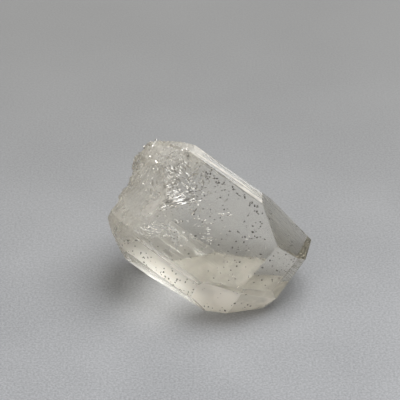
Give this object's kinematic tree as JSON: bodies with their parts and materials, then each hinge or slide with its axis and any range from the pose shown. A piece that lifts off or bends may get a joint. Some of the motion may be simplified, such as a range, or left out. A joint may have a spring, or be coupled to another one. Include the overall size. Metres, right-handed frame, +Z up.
{
  "type": "crystal",
  "caption": "Clear, pale champagne topaz crystal with flat growth faces, a faceted tip and a rough broken end, lying on a flat underside face.",
  "frame": {"origin": "under the middle of the crystal, on the surface that it lies on", "axes": "+Z up, +X to the viewer's right, which is its longest extent, and +Y away from the viewer; the crystal's own long axis runs to the right, 33 degrees towards the viewer and 20 degrees down to the tip"},
  "size_m": [0.026, 0.0216, 0.0158],
  "materials": {
    "topaz": "clear with glossy growth faces, frosted and chipped at the broken end"
  },
  "bodies": {
    "root": {"topaz_crystal": "topaz"}
  },
  "joints": []
}
